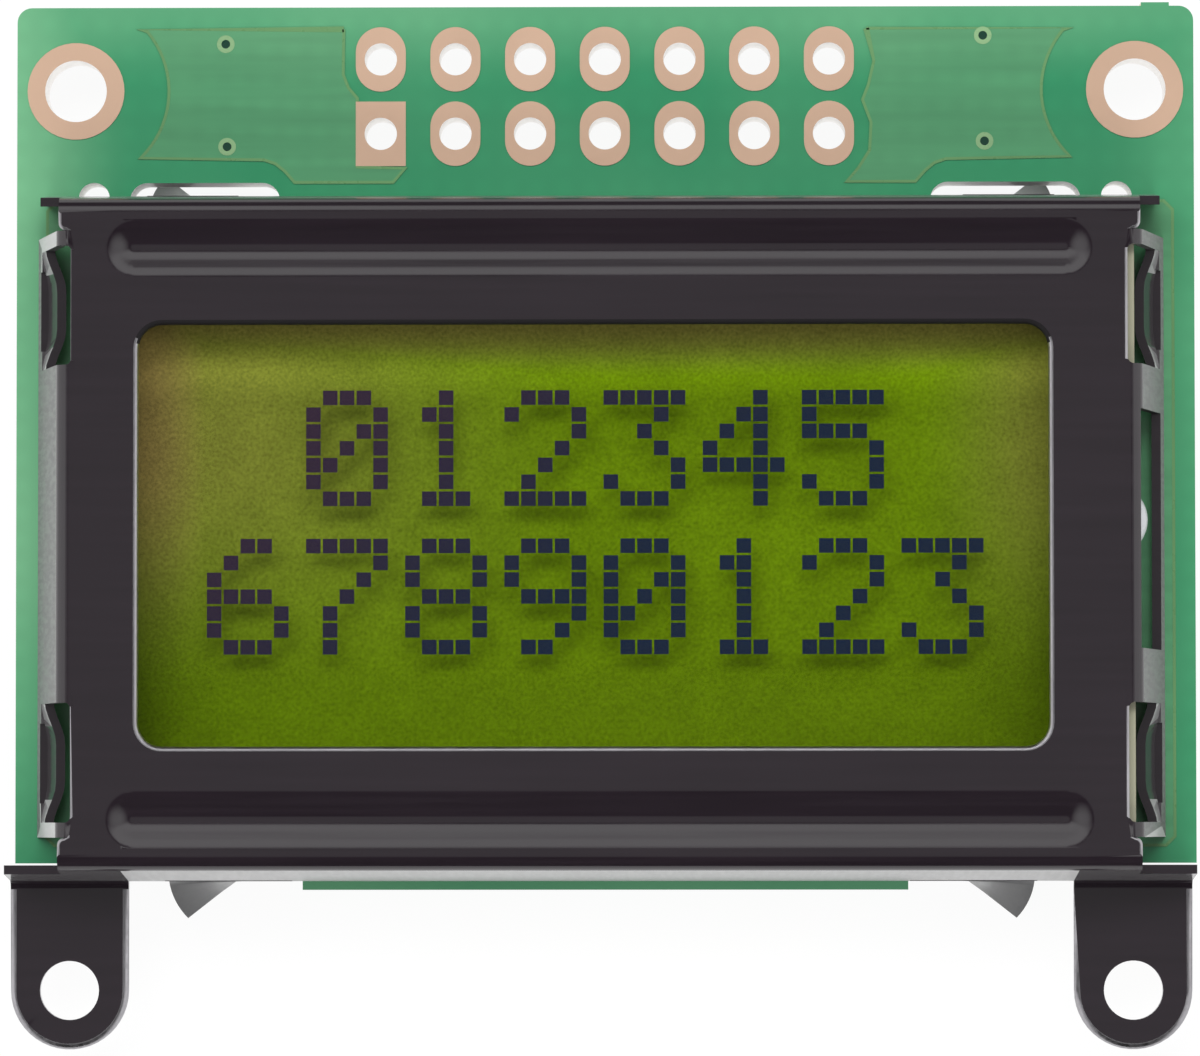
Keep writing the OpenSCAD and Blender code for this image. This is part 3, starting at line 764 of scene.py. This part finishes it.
def slab(bm, outline, z0, z1):
    """A prism on an outline given in millimetres, between two heights in metres."""
    low, high = [[bm.verts.new((x * MM, y * MM, z)) for x, y in outline] for z in (z0, z1)]
    bm.faces.new(high)
    bm.faces.new(low[::-1])
    join_rings(bm, low, high)


def arc(cx, cy, r, a0, a1, steps):
    """Points on an arc from angle a0 to a1, in degrees."""
    turns = [math.radians(a0 + (a1 - a0) * i / steps) for i in range(steps + 1)]
    return [(cx + r * math.cos(a), cy + r * math.sin(a)) for a in turns]


def mirrored(path):
    """The same path on the board's other half, run the other way."""
    return [(-x, y) for x, y in path[::-1]]


def ribbon(bm, path, width, z0, z1):
    """A flat strip of one width along a path given in millimetres."""
    sides = ([], [])
    for i, (x, y) in enumerate(path):
        before = Vector(path[i]) - Vector(path[max(i - 1, 0)])
        after = Vector(path[min(i + 1, len(path) - 1)]) - Vector(path[i])
        along = (before.normalized() + after.normalized()).normalized()
        reach = width / 2 / max(0.5, along.dot((after or before).normalized()))
        for side, sign in zip(sides, (1, -1)):
            side.append((x - sign * along.y * reach, y + sign * along.x * reach))
    slab(bm, sides[0] + sides[1][::-1], z0, z1)


TRACE_W, RING_W, EDGE_W = 0.25, 0.15, 0.1              # millimetres
EDGE_THICK, PRINT_THICK = 1.2 * COPPER, 1.4 * COPPER


def copper_areas(finish, edge_finish):
    """Copper areas under the mask beside the header and along the frame, with pale edges."""
    top = BOARD_TOP / MM
    hole = middle("right_mount_land") / MM
    upper, lower = top - 0.75, top - 5.97
    by_hole = arc(hole.x, hole.y, 3.17, 140, 226, 18)
    step = [(11.59, top - 5.2), (11.2, top - 5.33), (10.87, top - 5.6), (10.55, lower)]
    right = ([(8.89, upper), (hole.x - 2.16, upper)] + by_hole + step
             + [(8.22, lower), (8.63, top - 5.49), (9.0, top - 4.9), (9.05, top - 3.95),
                (8.76, top - 3.18), (8.96, top - 2.68), (9.15, top - 1.85)])
    left = ([(-8.88, upper), (-8.9, top - 2.3), (-8.72, top - 2.75), (-8.42, top - 3.1),
             (-8.42, top - 5.45), (-6.8, top - 5.5), (-7.2, lower)]
            + mirrored(step) + mirrored(by_hole) + [(2.16 - hole.x, upper)])
    inner_x, edge_x, low_y, high_y = 17.6, 19.27, top - 28.5, top - 6.65
    strip = [(inner_x, low_y), (edge_x - 0.3, low_y), (edge_x, low_y + 0.3),
             (edge_x, high_y - 0.3), (edge_x - 0.3, high_y), (inner_x, high_y)]
    far_strip = [(x * 0.984, y) for x, y in mirrored(strip)]
    bm = bmesh.new()
    for shape in (right, left, strip, far_strip):
        slab(bm, shape, FACE_Z, FACE_Z + COPPER)
    for shape in (right, left):
        slab(bm, shape, BACK_Z - COPPER, BACK_Z)
    areas = set(bm.faces)
    for shape in (right, left, strip, far_strip):
        ribbon(bm, shape + shape[:1], EDGE_W, FACE_Z, FACE_Z + EDGE_THICK)
    for shape in (right, left):
        ribbon(bm, shape + shape[:1], EDGE_W, BACK_Z - EDGE_THICK, BACK_Z)
    for face in set(bm.faces) - areas:
        face.material_index = 1
    return piece_from(bm, "copper_areas", (finish, edge_finish), smooth=12)


def header_traces(spot):
    """Paths on the back from the header's lands to the controller's middle, spot."""
    pitch = HEADER_PITCH / MM
    upper, lower = middle("header_land_2").y / MM, middle("header_land_1").y / MM
    for k in range(1, 2 * HEADER_COLS - 1):
        col = (k // 2 - (HEADER_COLS - 1) / 2) * pitch
        between = col + pitch / 2
        goal = spot.x + (k - HEADER_COLS + 0.5) * 0.58
        way = [(goal, 7.9), (goal, spot.y + 4.4)]
        if k % 2:
            yield [(col + 0.5, upper - 0.7), (between, upper - 1.9), (between, lower - 2.2)] + way
        else:
            yield [(col, lower - 0.8), (col, lower - 2.2)] + way


def chip_traces(spot):
    """Paths on the back from both ends of each chip, short or to the controller."""
    for name in solids("resistor_", "capacitor_"):
        at = middle(name) / MM
        half = (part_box(name)[1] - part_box(name)[0]) / MM / 2
        inward = 1 if at.x < spot.x else -1
        for end in (-1, 1):
            x, y = at.x, at.y
            if half.x > half.y:
                x += (half.x - 0.2) * end
            else:
                y += (half.y - 0.2) * end
            if abs(at.x - spot.x) > 13.5:
                yield [(x, y), (x + inward * 2.3, y)]
            elif end == inward or half.y > half.x:
                goal = (spot.x - inward * 4.9, y * 0.62 + spot.y * 0.38)
                yield [(x, y), (x + inward * 1.3, y), (goal[0] - inward * 1.6, goal[1]), goal]
            else:
                yield [(x, y), (x - inward * 0.7, y), (x - inward * 1.2, y - 0.9)]


def back_traces(finish):
    """Traces under the mask on the back."""
    spot = middle("controller_cover") / MM
    bm = bmesh.new()
    for path in [*header_traces(spot), *chip_traces(spot)]:
        ribbon(bm, path, TRACE_W, BACK_Z - COPPER, BACK_Z)
    return piece_from(bm, "back_traces", (finish,))


def print_ring(finish):
    """A printed ring round the controller's cover."""
    spot, low = middle("controller_cover") / MM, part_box("controller_cover")[0] / MM
    reach = spot.x - low.x + 0.45
    bm = bmesh.new()
    ribbon(bm, arc(spot.x, spot.y, reach, 0, 360, 120), RING_W, BACK_Z - PRINT_THICK, BACK_Z)
    return piece_from(bm, "print_ring", (finish,))


# The cover's section: shares of its reach, and of its height below the board.
COVER_SECTION = ((1.0, 0.0), (0.995, 0.1), (0.975, 0.26), (0.93, 0.46), (0.86, 0.66),
                 (0.76, 0.82), (0.62, 0.93), (0.42, 0.985), (0.2, 1.0))
COVER_STEPS = 96


def poured_cover(finish):
    """The resin poured over the controller: a flat dome with a slightly uneven rim."""
    spot, (low, high) = middle("controller_cover"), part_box("controller_cover")
    reach, tall = spot.x - low.x, high.z - low.z
    turns = [2 * math.pi * k / COVER_STEPS for k in range(COVER_STEPS)]
    bm = bmesh.new()
    rings = []
    for share, drop in COVER_SECTION:
        ring = []
        for a in turns:
            wave = 0.006 * math.sin(3 * a + 0.7) + 0.004 * math.sin(7 * a) - 0.010
            out = reach * share * (1 + share ** 3 * wave)
            ring.append(bm.verts.new((spot.x + out * math.cos(a), spot.y + out * math.sin(a),
                                      high.z - tall * drop)))
        rings.append(ring)
    for outer, inner in zip(rings, rings[1:]):
        join_rings(bm, outer, inner)
    bm.faces.new(rings[0])
    bm.faces.new(rings[-1])
    return piece_from(bm, "poured_cover", (finish,), ["controller_cover"],
                      smooth=40)


# The solder's section at a chip's end: shares of the chip's half length and of its height.
SOLDER_SECTION = ((0.6, 0.0), (0.6, 0.1), (1.0, 0.62), (1.04, 0.36), (1.12, 0.2),
                  (1.25, 0.12), (1.42, 0.1), (1.42, 0.0))


def soldered_chip(node, body_finish, tin_finish):
    """A chip with tinned ends, standing in solder on its two lands."""
    mid, (low, high) = middle(node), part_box(node)
    half = (high - low) / 2
    turned = half.y > half.x
    long, wide, tall = (half.y, half.x, 2 * half.z) if turned else (half.x, half.y, 2 * half.z)
    bm = bmesh.new()

    def put(u, v, w):
        """A corner at u along the chip, v across it and w out of the board's back."""
        x, y = (-v, u) if turned else (u, v)
        return bm.verts.new((mid.x + x, mid.y + y, high.z - w))

    def block(u0, u1, v, w0, w1, round_by, index):
        """A block with rounded edges from u0 to u1, as wide as 2 v, from w0 to w1."""
        rings = [[put(u0, -v, w), put(u1, -v, w), put(u1, v, w), put(u0, v, w)]
                 for w in (w0, w1)]
        faces = [bm.faces.new(rings[0][::-1]), bm.faces.new(rings[1]), *join_rings(bm, *rings)]
        edges = {e for f in faces for e in f.edges}
        made = bmesh.ops.bevel(bm, geom=list(edges), offset=round_by, segments=2,
                               profile=0.5, affect="EDGES")
        for face in {f for f in faces if f.is_valid} | set(made["faces"]):
            face.material_index = index

    block(-0.62 * long, 0.62 * long, 0.94 * wide, 0.06 * MM, 0.94 * tall, 0.02 * MM, 0)
    for end in (-1, 1):
        block(*sorted((end * 0.58 * long, end * long)), 0.99 * wide, 0.03 * MM, tall,
              0.06 * MM, 1)
        sides = [[put(end * u * long, s * 1.08 * wide, w * tall) for u, w in SOLDER_SECTION]
                 for s in (-1, 1)]
        for face in [bm.faces.new(side) for side in sides] + join_rings(bm, *sides):
            face.material_index = 1
    return piece_from(bm, "soldered_" + node, (body_finish, tin_finish), [node],
                      smooth=50)


# A via's resin: shares of its reach, and of the via's half height.
FILL_SECTION = ((0.25, 0.990), (0.8, 0.992), (1.0, 0.996))
FILL_STEPS = 16
VIA_WALL = 0.12 * MM


def via_fills(finish):
    """Resin that closes the small vias, sunk a little in the middle on both sides."""
    bm = bmesh.new()
    for name in solids("via_"):
        at, (low, high) = middle(name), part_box(name)
        reach = (high.x - low.x) / 2 - VIA_WALL
        half = (high.z - low.z) / 2
        turns = [2 * math.pi * k / FILL_STEPS for k in range(FILL_STEPS)]
        rims = []
        for side in (1, -1):
            rings = [[bm.verts.new((at.x + share * reach * math.cos(a),
                                    at.y + share * reach * math.sin(a),
                                    at.z + side * height * half)) for a in turns]
                     for share, height in FILL_SECTION]
            bm.faces.new(rings[0])
            for inner, outer in zip(rings, rings[1:]):
                join_rings(bm, inner, outer)
            rims.append(rings[-1])
        join_rings(bm, *rims)
    return piece_from(bm, "via_fills", (finish,), smooth=40)


def dress_solids():
    """Gives the solids that show as they are their finishes."""
    mask = mask_finish("solder_mask", (0.020, 0.212, 0.092), (0.142, 0.375, 0.198), True)
    paint_nodes(mask, "board")
    paint_nodes(copper_finish(), "header_land_", "left_mount_land", "right_mount_land")
    paint_nodes(plain_finish("thin_mask_on_via", (0.20, 0.34, 0.17), 0.3, swing=0.5), "via_")
    paint_nodes(plain_finish("seal_resin", (0.42, 0.40, 0.24), 0.5), "cell_seal")
    paint_nodes(reflector_look(), "rear_polarizer")
    paint_nodes(plain_finish("reflector_foil", (0.55, 0.58, 0.5), 0.4, Metallic=0.8),
                "reflector")
    paint_nodes(plain_finish("plug_resin", (0.62, 0.63, 0.66), 0.25, Alpha=0.85), "fill_plug")
    paint_nodes(striped_rubber(), "upper_rubber_connector", "lower_rubber_connector")
    paint_nodes(plain_finish("gold_contact", (0.80, 0.56, 0.22), 0.3, Metallic=1.0),
                "upper_contacts", "lower_contacts")


def build_pieces():
    """Makes the pieces that stand for solids, and the board's copper, print and resin."""
    poured_cover(plain_finish("black_resin", (0.012, 0.012, 0.012), 0.32, scale=900.0,
                              bump=0.3))
    tin = plain_finish("solder_tin", (0.62, 0.61, 0.58), 0.28, Metallic=1.0)
    bodies = {"resistor": plain_finish("resistor_body", (0.022, 0.022, 0.026), 0.35),
              "capacitor": plain_finish("capacitor_body", (0.36, 0.25, 0.16), 0.4)}
    for kind, body in bodies.items():
        for name in solids(kind + "_"):
            soldered_chip(name, body, tin)
    thin_mask = plain_finish("thin_mask_on_copper_edge", (0.105, 0.235, 0.095), 0.3, swing=0.5)
    back_traces(thin_mask)
    print_ring(plain_finish("white_print", (0.80, 0.80, 0.76), 0.5))

    steel_frame(steel_finish(), bare_edge_finish(),
                # These two greys paint in the reflection of the bright floor on the frame's upright
                # walls and tabs.
                painted_sheen_steel_finish("painted_sheen_side_steel", (0.020, 0.0195, 0.0205), 0.4),
                painted_sheen_steel_finish("painted_sheen_end_steel", (0.105, 0.105, 0.107), 1.0),
                plain_finish("shaded_cut_edge", (0.010, 0.009, 0.010), 0.6,
                             Specular_IOR_Level=0.2))
    display_cell(clear_cell_finish(),
                 plain_finish("ground_glass_edge", (0.33, 0.325, 0.235), 0.45, bump=0.3))
    lit_dots(dark_dot_look())
    over_copper = mask_finish("mask_over_copper", (0.064, 0.238, 0.110),
                              (0.110, 0.285, 0.145), False)
    copper_areas(over_copper, thin_mask)
    via_fills(plain_finish("via_resin", (0.004, 0.035, 0.020), 0.3))


aim_camera()
light_studio()
lay_floor()
dress_solids()
build_pieces()
